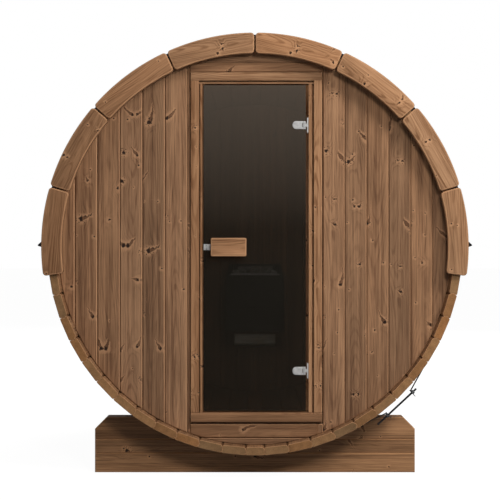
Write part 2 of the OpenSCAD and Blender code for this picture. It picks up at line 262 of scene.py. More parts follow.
def wood(name, light, dark, knot=(0.014, 0.007, 0.005), knots=0.42, contrast=1.0, gloss=0.55,
         tone_range=0.4, rings=0.30, big=0.0092, longest=0.11, edge_wear_and_highlight=0.6):
    """Heat-treated softwood. The grain attribute is (along, across, depth) in metres from the
    board's middle, with a different run of grain along each board; tone is one value a board."""
    m, t, bsdf = new_material(name)
    u, v, w = split(t, attribute(t, "grain", "Vector"))
    tone = attribute(t, "tone", "Fac")
    # growth rings: distance from a pith that wanders along the board
    wander = noise(t, xyz(t, u * 0.8, 3.0, 1.0), detail=1.0)
    lift = noise(t, xyz(t, u * 0.55, 9.0, 5.0), detail=1.0)
    across = v + mapped(t, wander, 0, 1, -0.13, 0.13)
    depth = w + mapped(t, lift, 0.25, 0.75, 0.02, 0.12)
    ring_r = root(across * across + depth * depth)
    often = mapped(t, fract(tone * 9.1), 0, 1, knots * 0.5, knots * 1.6)
    (head, branch, edge, rim), near, shown = knots_at(
        t, u, v, 0.16, 0.105, often, 0.0050, big, longest)
    (pin_head, _, _, pin_rim), _, _ = knots_at(
        t, u + 13.0, v, 0.11, 0.05, often * 0.35, 0.0026, 0.005, 0.007, 0.0)
    halo = shown * maths(t, "POWER", 2.718, near * near * -0.06)
    # ring lines bend round the knots
    wave = noise(t, xyz(t, u * 4.0, v * 26.0, w), detail=3.0)
    phase = ring_r * 1050.0 + (halo * 14.0 + mapped(t, wave, 0, 1, 0, 9.0))
    line = mapped(t, maths(t, "SINE", phase), 0.0, 1.0, smooth=True)
    fade = noise(t, xyz(t, u * 1.7, v * 14.0, 4.0))
    line = line * mapped(t, fade, 0.35, 0.65, 0.15, 1.0)
    fibre = noise(t, xyz(t, u * 8.0, v * 380.0, w * 380.0), detail=3.0, rough=0.65)
    streak = noise(t, xyz(t, u * 1.3, v * 130.0, w * 130.0), detail=4.0, rough=0.7)
    broad = noise(t, xyz(t, u * 0.7, v * 30.0, w * 30.0), rough=0.6)
    cloud = noise(t, xyz(t, u * 2.6, v * 13.0, w), detail=3.0, rough=0.6)
    amount = maths(t, "ADD", line * (rings * contrast),
                   mapped(t, streak, 0.36, 0.66, -0.05, 0.52 * contrast)
                   + (mapped(t, fibre, 0.3, 0.7, -0.25, 0.40 * contrast)
                      + mapped(t, broad, 0.36, 0.64, -0.12, 0.28 * contrast)), clamp=True)
    shade = mapped(t, tone, 0, 1, 1 - tone_range / 2, 1 + tone_range / 2) \
        * mapped(t, cloud, 0.3, 0.7, 0.85, 1.16)
    hue = mapped(t, fract(tone * 5.3), 0, 1, 0.90, 1.08)
    colour = shaded(t, blend_colour(t, amount, light, dark), shade, hue)
    pale = tuple(min(1, c * 1.5) for c in light)
    red = tuple(c * f for c, f in zip(dark, (0.75, 0.62, 0.55)))
    # The last mask paints the rounded rims pale: partly wear, partly a painted highlight.
    for mask, paint in ((maths(t, "MAXIMUM", rim, pin_rim) * 0.5, pale), (branch * 0.6, red),
                        (edge * 0.62, knot), (maths(t, "MAXIMUM", head, pin_head) * 0.95, knot),
                        (attribute(t, "rim", "Fac") * edge_wear_and_highlight, pale)):
        colour = blend_colour(t, mask, colour, paint)
    put(t, colour, bsdf.inputs["Base Color"])
    put(t, mapped(t, fibre, 0.2, 0.8, gloss - 0.06, gloss + 0.1), bsdf.inputs["Roughness"])
    bsdf.inputs["Specular IOR Level"].default_value = 0.3
    bump(t, bsdf, fibre * 0.7 + (line * 0.25 - head * 0.9), 0.0008, 0.6)
    return m


def end_grain(name, light, dark):
    """Sawn end of a board: arcs of growth rings with open pores."""
    m, t, bsdf = new_material(name)
    _, v, w = split(t, attribute(t, "grain", "Vector"))
    tone = attribute(t, "tone", "Fac")
    across = v + mapped(t, tone, 0, 1, -0.06, 0.06)
    depth = w + mapped(t, tone, 0, 1, 0.09, 0.03)
    ring_r = root(across * across + depth * depth)
    wobble = noise(t, xyz(t, v * 30, w * 30, tone))
    ring = maths(t, "SINE", ring_r * 1900 + wobble * 3.0)
    pores = noise(t, xyz(t, v * 260, w * 260, tone), detail=3.0, rough=0.65)
    patch = noise(t, xyz(t, v * 26, w * 26, tone * 9.0))
    amount = maths(t, "ADD", mapped(t, ring, -0.2, 1.0, 0.0, 0.35, smooth=True),
                   mapped(t, pores, 0.35, 0.7, 0.0, 0.4)
                   + mapped(t, patch, 0.3, 0.7, -0.1, 0.25), clamp=True)
    shade = mapped(t, fract(tone * 7.3), 0, 1, 0.74, 1.2)
    hue = mapped(t, fract(tone * 3.7), 0, 1, 1.25, 0.8)
    put(t, shaded(t, blend_colour(t, amount, light, dark), shade, hue), bsdf.inputs["Base Color"])
    bsdf.inputs["Roughness"].default_value = 0.8
    bsdf.inputs["Specular IOR Level"].default_value = 0.2
    bump(t, bsdf, pores + ring * 0.15, 0.0006, 0.6)
    return m


def object_point(t):
    return t.nodes.new("ShaderNodeTexCoord").outputs["Object"]


def metal(name, colour, rough, grain=60.0, spread=0.12, metallic=1.0):
    """Metal with fine rubbing marks and an uneven sheen."""
    m, t, bsdf = new_material(name)
    p = object_point(t)
    fine = noise(t, p, grain * 12, 3.0, 0.6)
    broad = noise(t, p, grain, 3.0, 0.55)
    dark = tuple(c * 0.72 for c in colour)
    put(t, blend_colour(t, mapped(t, broad, 0.3, 0.7), dark, colour), bsdf.inputs["Base Color"])
    put(t, mapped(t, fine, 0.3, 0.7, rough - spread / 2, rough + spread / 2),
        bsdf.inputs["Roughness"])
    bsdf.inputs["Metallic"].default_value = metallic
    bump(t, bsdf, fine, 0.0001, 0.35)
    return m


def shingle_material():
    m, t, bsdf = new_material("bitumen_shingle")
    p = object_point(t)
    tone = attribute(t, "tone", "Fac")
    grit = noise(t, p, 900.0, 2.0, 0.7)
    patch = noise(t, p, 14.0, 4.0, 0.6)
    sparkle = noise(t, p, 420.0, 0.0)
    amount = maths(t, "ADD", mapped(t, grit, 0.35, 0.75, 0.0, 0.8),
                   mapped(t, patch, 0.3, 0.7, -0.15, 0.3), clamp=True)
    colour = blend_colour(t, amount, (0.012, 0.012, 0.013), (0.06, 0.06, 0.062))
    shade = mapped(t, tone, 0, 1, 0.75, 1.3)
    put(t, shaded(t, colour, shade), bsdf.inputs["Base Color"])
    put(t, mapped(t, sparkle, 0.4, 0.7, 0.95, 0.7), bsdf.inputs["Roughness"])
    bsdf.inputs["Specular IOR Level"].default_value = 0.3
    bump(t, bsdf, grit, 0.0012, 0.9)
    return m


def coated(name, colour, rough):
    """Powder-coated or painted sheet with a slight texture."""
    m, t, bsdf = new_material(name)
    p = object_point(t)
    fine = noise(t, p, 700.0, 2.0, 0.5)
    broad = noise(t, p, 9.0, 3.0, 0.6)
    light = tuple(min(1.0, c * 1.5 + 0.004) for c in colour)
    put(t, blend_colour(t, mapped(t, broad, 0.35, 0.7), colour, light), bsdf.inputs["Base Color"])
    put(t, mapped(t, broad, 0.3, 0.7, rough - 0.05, rough + 0.08), bsdf.inputs["Roughness"])
    bump(t, bsdf, fine, 0.00012, 0.3)
    return m


def stone_material():
    m, t, bsdf = new_material("heater_stone")
    p = object_point(t)
    tone = attribute(t, "tone", "Fac")
    grit = noise(t, p, 160.0, 5.0, 0.7)
    patch = noise(t, p, 30.0, 3.0, 0.6)
    amount = mapped(t, grit, 0.3, 0.7, 0, 0.6) + mapped(t, patch, 0.3, 0.7, 0, 0.4)
    colour = blend_colour(t, amount, (0.10, 0.096, 0.088), (0.46, 0.44, 0.40))
    shade = mapped(t, tone, 0, 1, 0.6, 1.25)
    put(t, shaded(t, colour, shade), bsdf.inputs["Base Color"])
    bsdf.inputs["Roughness"].default_value = 0.85
    bump(t, bsdf, grit, 0.002, 0.8)
    return m


def glass_material():
    m, t, bsdf = new_material("tinted_glass")
    p = object_point(t)
    haze = noise(t, p, 3.0, 2.0, 0.5)
    put(t, blend_colour(t, haze, (0.012, 0.0108, 0.0085), (0.016, 0.0145, 0.0113)),
        bsdf.inputs["Base Color"])
    bsdf.inputs["Roughness"].default_value = 0.03
    bsdf.inputs["IOR"].default_value = 1.9
    bsdf.inputs["Specular Tint"].default_value = (1.0, 0.80, 0.64, 1.0)
    bsdf.inputs["Alpha"].default_value = 0.70
    return m


STAVE = wood("stave_wood", (0.36, 0.195, 0.100), (0.15, 0.072, 0.034), knots=0.4)
STAVE_END = end_grain("stave_end", (0.34, 0.180, 0.080), (0.105, 0.050, 0.022))
WALL = wood("wall_wood", (0.335, 0.185, 0.100), (0.104, 0.048, 0.025))
TRIM = wood("trim_wood", (0.40, 0.219, 0.116), (0.17, 0.079, 0.036),
            gloss=0.5, rings=0.55, big=0.006, longest=0.03, edge_wear_and_highlight=0.45)
# A darker copy of the trim wood for the sill: painted shade low on the frame.
SHADED_SILL = wood("sill_wood_painted_shade", (0.27, 0.138, 0.068), (0.12, 0.053, 0.024), contrast=0.8,
            gloss=0.5, rings=0.5, big=0.006, tone_range=0.1, longest=0.03, edge_wear_and_highlight=0.3)
CRADLE = wood("cradle_wood", (0.37, 0.193, 0.092), (0.13, 0.061, 0.029))
SHINGLE = shingle_material()
DRIP = coated("drip_metal", (0.008, 0.008, 0.009), 0.45)
STEEL = metal("satin_steel", (0.74, 0.74, 0.74), 0.5, metallic=0.5)
HOOP = metal("hoop_steel", (0.22, 0.22, 0.225), 0.4)
ROD = coated("rod_steel", (0.010, 0.010, 0.011), 0.45)
NUT = metal("galvanised_steel", (0.55, 0.56, 0.58), 0.38)
VENT = coated("vent_metal", (0.86, 0.80, 0.67), 0.5)
HEATER = coated("heater_metal", (0.018, 0.018, 0.019), 0.4)
STONE = stone_material()
CRADLE_END = end_grain("cradle_end", (0.30, 0.16, 0.080), (0.12, 0.06, 0.030))
GLASS = glass_material()


# ---------------------------------------------------------------- mesh helpers
class Piece:
    """Collects separate closed shapes into one object. Each shape has its own grain and tone."""

    def __init__(self, name, materials):
        self.name = name
        self.materials = materials
        self.verts, self.faces, self.slots, self.smooth = [], [], [], []
        self.grain, self.tone, self.rim = [], [], []

    def add(self, bm, axes=None, material=0, smooth=False, tone=None, ends=None, fresh=None):
        """axes is (along, across, depth) for the grain. ends is (material, axis): the faces that
        look along that axis take the material. Rims are painted pale, as wear and a painted
        highlight; given the last argument, an axis, only the rims that look towards it are painted,
        a painted highlight on the side facing the light."""
        bmesh.ops.recalc_face_normals(bm, faces=bm.faces)
        base = len(self.verts)
        bm.verts.index_update()
        pts = [v.co.copy() for v in bm.verts]
        mid = sum(pts, Vector()) / len(pts)
        run = rng.uniform(0.0, 60.0)
        shade = rng.random() if tone is None else tone
        for p in pts:
            self.verts.append(p)
            if axes is None:
                self.grain.append(p)
            else:
                d = p - mid
                self.grain.append(Vector((d.dot(axes[0]) + run, d.dot(axes[1]), d.dot(axes[2]))))
            self.tone.append(shade)
        rims = bm.faces.layers.int.get("rim")
        for f in bm.faces:
            self.faces.append([v.index + base for v in f.verts])
            # Only rims that look towards the given axis are painted pale there: a painted highlight
            # on the side facing the light.
            pale = rims is not None and f[rims] and (fresh is None or f.normal.dot(fresh) > 0.2)
            self.rim.append(1.0 if pale else 0.0)
            use = material
            if ends is not None and abs(f.normal.dot(ends[1])) > 0.8:
                use = ends[0]
            self.slots.append(use)
            self.smooth.append(f.smooth or smooth)
        bm.free()

    def make(self, body, slot, *nodes):
        mesh = bpy.data.meshes.new(self.name)
        mesh.from_pydata([tuple(v) for v in self.verts], [], self.faces)
        for m in self.materials:
            mesh.materials.append(m)
        mesh.polygons.foreach_set("material_index", self.slots)
        mesh.polygons.foreach_set("use_smooth", self.smooth)
        grain = mesh.attributes.new("grain", "FLOAT_VECTOR", "POINT")
        grain.data.foreach_set("vector", [c for g in self.grain for c in g])
        tone = mesh.attributes.new("tone", "FLOAT", "POINT")
        tone.data.foreach_set("value", self.tone)
        rim = mesh.attributes.new("rim", "FLOAT", "FACE")
        rim.data.foreach_set("value", self.rim)
        mesh.update()
        if any(self.smooth):
            mesh.set_sharp_from_angle(angle=math.radians(35))
        obj = bpy.data.objects.new(self.name, mesh)
        bpy.context.scene.collection.objects.link(obj)
        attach(obj, body)
        if nodes:
            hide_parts(*nodes)
        return obj


X, Y, Z = Vector((1, 0, 0)), Vector((0, 1, 0)), Vector((0, 0, 1))


def rounded_rim(bm, y, size, segs):
    """Rounds every edge that lies in the plane at Y."""
    rim = [e for e in bm.edges if all(abs(v.co.y - y) < 1e-6 for v in e.verts)]
    made = bmesh.ops.bevel(bm, geom=rim, offset=size, segments=segs, affect="EDGES",
                           profile=0.5, clamp_overlap=True)
    # The rounded faces are marked to be painted pale: partly wear, partly a painted highlight.
    rims = bm.faces.layers.int["rim"]
    for f in made["faces"]:
        f[rims] = 1
        f.smooth = segs > 1


def prism(outline, a0, a1, near=0.0, far=0.0, segs=1, corner=0.0, curved=False, put_at=None):
    """Closed prism of an X-Z outline, from Y a0 to a1. near and far are the roundings of its two
    rims, corner that of its sharp long edges. put_at(x, y, z) can send it elsewhere."""
    bm = bmesh.new()
    bm.faces.layers.int.new("rim")
    front = [bm.verts.new((x, a0, z)) for x, z in outline]
    back = [bm.verts.new((x, a1, z)) for x, z in outline]
    n = len(outline)
    bm.faces.new(front)
    bm.faces.new(list(reversed(back)))
    for i in range(n):
        j = (i + 1) % n
        side = bm.faces.new((front[i], back[i], back[j], front[j]))
        side.smooth = curved
    bmesh.ops.recalc_face_normals(bm, faces=bm.faces)
    if corner > 0:
        sharp = [e for e in bm.edges if abs(e.verts[0].co.y - e.verts[1].co.y) > 1e-6
                 and e.calc_face_angle(0) > 0.5]
        bmesh.ops.bevel(bm, geom=sharp, offset=corner, segments=max(segs, 2),
                        affect="EDGES", profile=0.5, clamp_overlap=True)
    if near > 0:
        rounded_rim(bm, a0, near, segs)
    if far > 0:
        rounded_rim(bm, a1, far, segs)
    if put_at is not None:
        for v in bm.verts:
            v.co = put_at(*v.co)
    return bm


def block(low, high, edge=0.002, segs=2):
    """Box with rounded edges."""
    bm = bmesh.new()
    bmesh.ops.create_cube(bm, size=1.0)
    for v in bm.verts:
        v.co = Vector([low[i] if v.co[i] < 0 else high[i] for i in range(3)])
    made = bmesh.ops.bevel(bm, geom=list(bm.edges), offset=edge, segments=segs,
                           affect="EDGES", profile=0.5, clamp_overlap=True)
    if segs > 2:
        for f in made["faces"]:
            f.smooth = True
    return bm


def lathe(profile, start, axis, segs=24, smooth=True):
    """Closed turned shape. profile is (distance along, radius), with both ends on the axis."""
    axis = axis.normalized()
    side = axis.orthogonal().normalized()
    other = axis.cross(side)
    bm = bmesh.new()
    rings = []
    for along, r in profile:
        mid = start + axis * along
        if r <= 0:
            rings.append([bm.verts.new(mid)])
        else:
            rings.append([bm.verts.new(mid + side * (r * math.cos(2 * math.pi * i / segs))
                                       + other * (r * math.sin(2 * math.pi * i / segs)))
                          for i in range(segs)])
    for a, b in zip(rings, rings[1:]):
        for i in range(segs):
            j = (i + 1) % segs
            if len(a) == 1:
                f = bm.faces.new((a[0], b[i], b[j]))
            elif len(b) == 1:
                f = bm.faces.new((a[i], a[j], b[0]))
            else:
                f = bm.faces.new((a[i], a[j], b[j], b[i]))
            f.smooth = smooth
    return bm


def screw_head(at, axis, r=0.0045, h=0.0016):
    """Domed screw head with a round recess. axis points out of the surface."""
    axis = axis.normalized()
    profile = [(-0.001, 0), (-0.001, r), (h * 0.35, r), (h * 0.75, r * 0.8), (h, r * 0.48),
               (h * 0.2, r * 0.36), (h * 0.1, 0)]
    return lathe(profile, at, axis, 18)


def arc(radius, a0, a1, n, cx=0.0, cz=0.0):
    return [(cx + radius * math.cos(math.radians(a0 + (a1 - a0) * i / n)),
             cz + radius * math.sin(math.radians(a0 + (a1 - a0) * i / n)))
            for i in range(n + 1)]


def lifted(points, dz):
    return [(x, z + dz) for x, z in points]


def polar(radius, degrees):
    return (radius * math.cos(math.radians(degrees)), radius * math.sin(math.radians(degrees)))


# ---------------------------------------------------------------- barrel shell
def stave_outline(half, chamfer_out=0.0042, chamfer_in=0.0066):
    """Cross-section (across, radius): flat faces, a bead on one edge and a cove on the other."""
    t = math.tan(math.radians(half))
    gap = 0.0004
    flat_out = barrel_r * math.cos(math.radians(half))
    edge = lambda r: r * t - gap
    depth = 0.0052
    r_mid = (flat_out + inner_r) / 2
    half_h = (flat_out - inner_r) / 2 - 0.0085
    bead = [math.pi * i / 8 for i in range(9)]
    right = [(edge(r_mid - half_h * math.cos(a)) + depth * math.sin(a),
              r_mid - half_h * math.cos(a)) for a in bead]
    left = [(-edge(r_mid + half_h * math.cos(a)) + depth * math.sin(a),
             r_mid + half_h * math.cos(a)) for a in bead]
    return ([(-edge(inner_r) + chamfer_in, inner_r), (edge(inner_r) - chamfer_in, inner_r),
             (edge(inner_r + chamfer_in), inner_r + chamfer_in)] + right
            + [(edge(flat_out - chamfer_out), flat_out - chamfer_out),
               (edge(flat_out) - chamfer_out, flat_out), (-edge(flat_out) + chamfer_out, flat_out),
               (-edge(flat_out - chamfer_out), flat_out - chamfer_out)] + left
            + [(-edge(inner_r + chamfer_in), inner_r + chamfer_in)])


def stave(piece, mid, width):
    radial = Vector((math.cos(math.radians(mid)), 0, math.sin(math.radians(mid))))
    across = Vector((-radial.z, 0, radial.x))
    bm = prism(stave_outline(width / 2), -end_y + rng.uniform(0, 0.0006),
               end_y - rng.uniform(0, 0.0006), near=0.0018, far=0.0018)
    for v in bm.verts:
        a, y, r = v.co
        v.co = across * a + radial * r + Vector((0, y, axis_z))
    piece.add(bm, (Y, across, radial), ends=(1, Y))


def shell_group(name, start, widths, node):
    piece = Piece(name, (STAVE, STAVE_END))
    at = start
    for w in widths:
        stave(piece, at + w / 2, w)
        at += w
    piece.make("body", "stave_wood", node)


top_stave = 360 - closing_stave - 52 * stave_step
bottom_half = closing_stave / 2 + 4 * stave_step
side_span = 9 * stave_step
for name, start, middle in (("bottom", -90 - bottom_half, closing_stave),
                            ("lower_right", -90 + bottom_half, stave_step),
                            ("upper_right", -90 + bottom_half + side_span, stave_step),
                            ("top", -90 + bottom_half + 2 * side_span, top_stave),
                            ("upper_left", 270 - bottom_half - 2 * side_span, stave_step),
                            ("lower_left", 270 - bottom_half - side_span, stave_step)):
    shell_group("staves_" + name, start, [stave_step] * 4 + [middle] + [stave_step] * 4,
                "shell_" + name)


# ---------------------------------------------------------------- end walls
def chord_points(x0, x1, top, n=10):
    """Points on the wall's circle from X x0 to x1, on its upper or lower half."""
    sign = 1 if top else -1
    return [(x, sign * math.sqrt(max(wall_r * wall_r - x ** 2, 0.0)))
            for x in (x0 + (x1 - x0) * i / n for i in range(n + 1))]


def upright_board(piece, y0, y1, x0, x1, vent=False):
    """Vertical board cut to the barrel's circle, with V-grooved edges."""
    x0, x1 = max(x0, -wall_r * 0.9995), min(x1, wall_r * 0.9995)
    shade = rng.random()
    for start, end, near, far, back in layers(y0, y1):
        upright_layer(piece, start, end, x0 + back, x1 - back, near, far, shade, vent)


def layers(y0, y1):
    """A board's faces stand back from its neighbours', which leaves a slot in the groove."""
    face, slot = 0.010, 0.0011
    return ((y0, y0 + face, groove, 0, slot), (y0 + face - 0.001, y1 - face + 0.001, 0, 0, 0.00005),
            (y1 - face, y1, 0, groove, slot))


def upright_layer(piece, y0, y1, a, b, near, far, shade, vent):
    bottom, top = chord_points(a, b, False), chord_points(b, a, True)
    outlines = [bottom + top]
    if vent and a < vent_half_w and b > -vent_half_w:
        left_in, right_in = a >= -vent_half_w, b <= vent_half_w
        if left_in and right_in:
            outlines = [bottom + [(b, vent_bottom), (a, vent_bottom)],
                        [(a, vent_top), (b, vent_top)] + top]
        elif left_in:
            outlines = [bottom + top + [(a, vent_top), (vent_half_w, vent_top),
                                        (vent_half_w, vent_bottom), (a, vent_bottom)]]
        else:
            outlines = [bottom + [(b, vent_bottom), (-vent_half_w, vent_bottom),
                                  (-vent_half_w, vent_top), (b, vent_top)] + top]
    for outline in outlines:
        bm = prism(lifted(outline, axis_z), y0, y1, near=near, far=far)
        # Only the rims on the side facing the light are painted pale: a painted highlight.
        piece.add(bm, (Z, X, Y), tone=shade, fresh=X if y0 < 0 else -X)


def wall_seams(start, step, limit):
    seams = [start]
    while abs(seams[-1]) < limit:
        seams.append(seams[-1] + step)
    return seams


groove = 0.0044
wall_left_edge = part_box("front_wall_left")[1][0]
wall_right_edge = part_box("front_wall_right")[0][0]
piece = Piece("front_boards_left", (WALL,))
seams = [wall_left_edge] + wall_seams(wall_left_edge - 0.0124, -0.1098, wall_r)
for x1, x0 in zip(seams, seams[1:]):
    upright_board(piece, front_y0, front_y1, x0, x1)
piece.make("body", "wall_wood", "front_wall_left")
piece = Piece("front_boards_right", (WALL,))
seams = wall_seams(wall_right_edge + 0.0003, 0.1069, wall_r)
for x0, x1 in zip(seams, seams[1:]):
    upright_board(piece, front_y0, front_y1, x0, x1)
piece.make("body", "wall_wood", "front_wall_right")

# level boards over and under the door
over_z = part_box("front_wall_above_door")[0][2] - axis_z
under_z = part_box("front_wall_below_door")[1][2] - axis_z


def level_board(piece, z0, z1, right=None, tone=None):
    """Horizontal board between the two side walls, cut to the circle where it meets it."""
    right = wall_right_edge if right is None else right
    shade = rng.random() if tone is None else tone
    up = 1 if z1 > z0 else -1
    for start, end, near, far, back in layers(front_y0, front_y1):
        level_layer(piece, start, end, z0 + back * up, z1 - back * up, right, near, far, shade)


def level_layer(piece, y0, y1, z0, z1, right, near, far, shade):
    outer, inner = (z1, z0) if abs(z1) > abs(z0) else (z0, z1)
    reach = math.sqrt(wall_r ** 2 - inner ** 2)
    x0, x1 = max(wall_left_edge + 0.0001, -reach), min(right - 0.0001, reach)
    sign = 1 if outer > 0 else -1
    pts = [(x0, inner), (x1, inner)]
    for i in range(25):
        x = x1 + (x0 - x1) * i / 24
        z = min(abs(outer), math.sqrt(max(wall_r ** 2 - x * x, 0.0)))
        if z > abs(inner) + 0.0005:
            pts.append((x, sign * z))
    bm = prism(lifted(pts, axis_z), y0, y1, near=near, far=far)
    # Only the upward-facing rims are painted pale: a painted highlight from above.
    piece.add(bm, (X, Z, Y), tone=shade, fresh=Z)


piece = Piece("boards_over_door", (WALL,))
# The lightest tones go over the door: painted light to lift the shade under the arch.
level_board(piece, over_z, 0.904, tone=1.0)
level_board(piece, 0.904, 1.2, tone=0.9)
piece.make("body", "wall_wood", "front_wall_above_door")
piece = Piece("boards_under_door", (WALL,))
post_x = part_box("door_frame_right")[1][0] - 0.022
# The darkest tones go under the door: painted shade low on the wall.
level_board(piece, under_z, -0.926, post_x, tone=0.0)
level_board(piece, -0.926, -1.2, post_x, tone=0.1)
foot = [(x, -math.sqrt(wall_r ** 2 - x * x)) for x in (post_x, (post_x + wall_right_edge) / 2,
                                                       wall_right_edge - 0.0001)]
bm = prism(lifted(foot + [(wall_right_edge - 0.0001, under_z), (post_x, under_z)], axis_z),
           front_y0, front_y1, near=groove, far=groove)
piece.add(bm, (Z, X, Y))
piece.make("body", "wall_wood", "front_wall_below_door")

piece = Piece("back_boards", (WALL,))
pitch = 0.1098
first = -0.0067 - 9 * pitch
for i in range(18):
    upright_board(piece, back_y0, back_y1, first + i * pitch, first + (i + 1) * pitch, True)
for _ in range(8):
    rng.random()  # keeps the draws of the pieces below
piece.make("body", "wall_wood", "back_wall_upper", "back_wall_lower")

# louvred cover on the vent
low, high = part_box("vent_grille")
piece = Piece("vent_cover", (VENT, NUT))
rim = 0.02
y0, y1 = low[1], high[1]
for a, b in (((low[0], low[2]), (high[0], low[2] + rim)),
             ((low[0], high[2] - rim), (high[0], high[2])),
             ((low[0], low[2] + rim), (low[0] + rim, high[2] - rim)),
             ((high[0] - rim, low[2] + rim), (high[0], high[2] - rim))):
    piece.add(block((a[0], y0, a[1]), (b[0], y1, b[1]), 0.0012))
slats = 7
for i in range(slats):
    z = low[2] + rim + (high[2] - low[2] - 2 * rim) * (i + 0.5) / slats - 0.0018
    outline = [(-0.001, 0.0075), (0.0095, -0.0035), (0.0107, -0.0023), (0.0002, 0.0087)]
    bm = prism([(z + b, y0 + a) for a, b in outline], low[0] + rim - 0.001,
               high[0] - rim + 0.001, put_at=lambda x, y, z: Vector((y, z, x)))
    piece.add(bm)
for sx in (low[0] + rim / 2, high[0] - rim / 2):
    for sz in (low[2] + rim / 2, high[2] - rim / 2):
        piece.add(screw_head(Vector((sx, y1, sz)), Y, 0.0035), material=1)
piece.make("body", "vent_metal", "vent_grille")


# ---------------------------------------------------------------- door frame
def upright(piece, outline, z0, z1, corner, axes=(Z, X, Y)):
    """Vertical member from an X-Y outline."""
    bm = prism(outline, z0, z1, near=0.0008, far=0.0008, corner=corner, segs=1,
               put_at=lambda x, y, z: Vector((x, z, y)))
    # The left members take a darker tone than the right: painted shade on the left side.
    piece.add(bm, axes, tone=0.4 if outline[0][0] < 0 else 0.65)


def rect(x0, y0, x1, y1):
    return [(x0, y0), (x1, y0), (x1, y1), (x0, y1)]


frame_low, frame_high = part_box("door_frame_head")
front, back = frame_low[1], frame_high[1]
sill_low, sill_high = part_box("door_sill")
left_x, right_x = frame_low[0], frame_high[0]
glass_low, glass_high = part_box("door_glass")
jamb = 0.041
head_z = frame_high[2] - 0.040
sill_z = sill_high[2]
strip_y = front + 0.006
slot_y = front + 0.027
strip_z = frame_low[2]
lip_y = glass_high[1] + 0.008

piece = Piece("frame_left", (TRIM,))
inner = -0.2665
upright(piece, rect(left_x, front, left_x + jamb, back), sill_z, head_z, 0.0028)
upright(piece, [(left_x + jamb, slot_y), (inner, slot_y), (inner, strip_y), (-0.256, strip_y),
                (-0.256, lip_y), (-0.242, lip_y), (-0.242, back), (left_x + jamb, back)],
        sill_z, strip_z, 0.0014)
piece.make("body", "trim_wood", "door_frame_left")
piece = Piece("frame_right", (TRIM,))
upright(piece, rect(right_x - jamb, front, right_x, back), sill_z, head_z, 0.0028)
upright(piece, [(0.261, strip_y), (0.277, strip_y), (0.277, slot_y), (right_x - jamb, slot_y),
                (right_x - jamb, back), (0.261, back)], sill_z, strip_z, 0.0014)
piece.make("body", "trim_wood", "door_frame_right")


def level(piece, outline, x0, x1, corner):
    """Horizontal member from a Y-Z outline."""
    bm = prism(outline, x0, x1, near=0.0008, far=0.0008, corner=corner, segs=1,
               put_at=lambda x, y, z: Vector((y, x, z)))
    piece.add(bm, (X, Z, Y), tone=0.55)


piece = Piece("frame_head", (TRIM,))
level(piece, rect(front, head_z, back, frame_high[2]), left_x, right_x, 0.0028)
level(piece, rect(slot_y, strip_z + 0.0075, back, head_z), left_x + jamb, right_x - jamb, 0.001)
level(piece, rect(strip_y, strip_z, back, strip_z + 0.0075), left_x + jamb, right_x - jamb,
      0.0012)
piece.make("body", "trim_wood", "door_frame_head")
piece = Piece("sill", (SHADED_SILL,))
sill_front = sill_low[1]
frame_z = sill_z - 0.045
level(piece, [(sill_front, frame_z), (sill_front, sill_z - 0.008), (sill_front + 0.006, sill_z),
              (back, sill_z), (back, sill_low[2]), (front_y0 + 0.016, sill_low[2]),
              (front_y0 + 0.016, frame_z)], left_x, right_x, 0.0016)
piece.make("body", "trim_wood", "door_sill")


# ---------------------------------------------------------------- arches
def arch_outline(a0, a1, corner=0.016):
    """Ring sector with rounded corners, about the arches' own centre."""
    r_out, r_in = arch_r, arch_r - arch_w
    half_gap = math.degrees(math.asin(arch_gap / 2 / arch_r))
    a0, a1 = a0 + half_gap, a1 - half_gap
    d_out = math.degrees(math.asin(corner / (r_out - corner)))
    d_in = math.degrees(math.asin(corner / (r_in + corner)))
    c = {}
    for key, r, a in (("o0", r_out - corner, a0 + d_out), ("o1", r_out - corner, a1 - d_out),
                      ("i0", r_in + corner, a0 + d_in), ("i1", r_in + corner, a1 - d_in)):
        c[key] = polar(r, a)
    pts = arc(corner, a0 - 90, a0 + d_out, 4, *c["o0"])
    pts += arc(r_out, a0 + d_out, a1 - d_out, 14)[1:-1]
    pts += arc(corner, a1 - d_out, a1 + 90, 4, *c["o1"])
    pts += arc(corner, a1 + 90, a1 + 180 - d_in, 4, *c["i1"])
    pts += arc(r_in, a1 - d_in, a0 + d_in, 14)[1:-1]
    pts += arc(corner, a0 + 180 + d_in, a0 + 270, 4, *c["i0"])
    return pts


def arch_board(piece, a0, a1, y0, y1, near, far, tone=None):
    mid = math.radians((a0 + a1) / 2)
    radial = Vector((math.cos(mid), 0, math.sin(mid)))
    along = Vector((-radial.z, 0, radial.x))
    bm = prism(lifted(arch_outline(a0, a1), axis_z + arch_rise), y0, y1, near=near, far=far,
               segs=3, curved=True)
    piece.add(bm, (along, radial, Y), tone=tone)


# Arch boards are toned dark on the left and light at the top right: painted shade and painted
# light, as if lit from the upper right.
arch_tones_painted_light = (0.02, 0.08, 0.42, 0.5, 0.95, 0.85, 0.72, 0.5)
for n in range(8):
    node = f"front_arch_{n + 1}"
    low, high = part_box(node)
    a1 = 90 + (4 - n) * arch_step
    piece = Piece(f"arch_board_{n + 1}", (TRIM,))
    arch_board(piece, a1 - arch_step, a1, low[1], high[1], 0.0062, 0.001, arch_tones_painted_light[n])
    piece.make("body", "trim_wood", node)
low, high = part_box("rear_arch_left")
for side, name, node in ((0, "rear_arch_boards_left", "rear_arch_left"),
                         (-4, "rear_arch_boards_right", "rear_arch_right")):
    piece = Piece(name, (TRIM,))
    for n in range(4):
        a0 = 90 + (side + n) * arch_step
        arch_board(piece, a0, a0 + arch_step, low[1], high[1], 0.001, 0.0062)
    piece.make("body", "trim_wood", node)


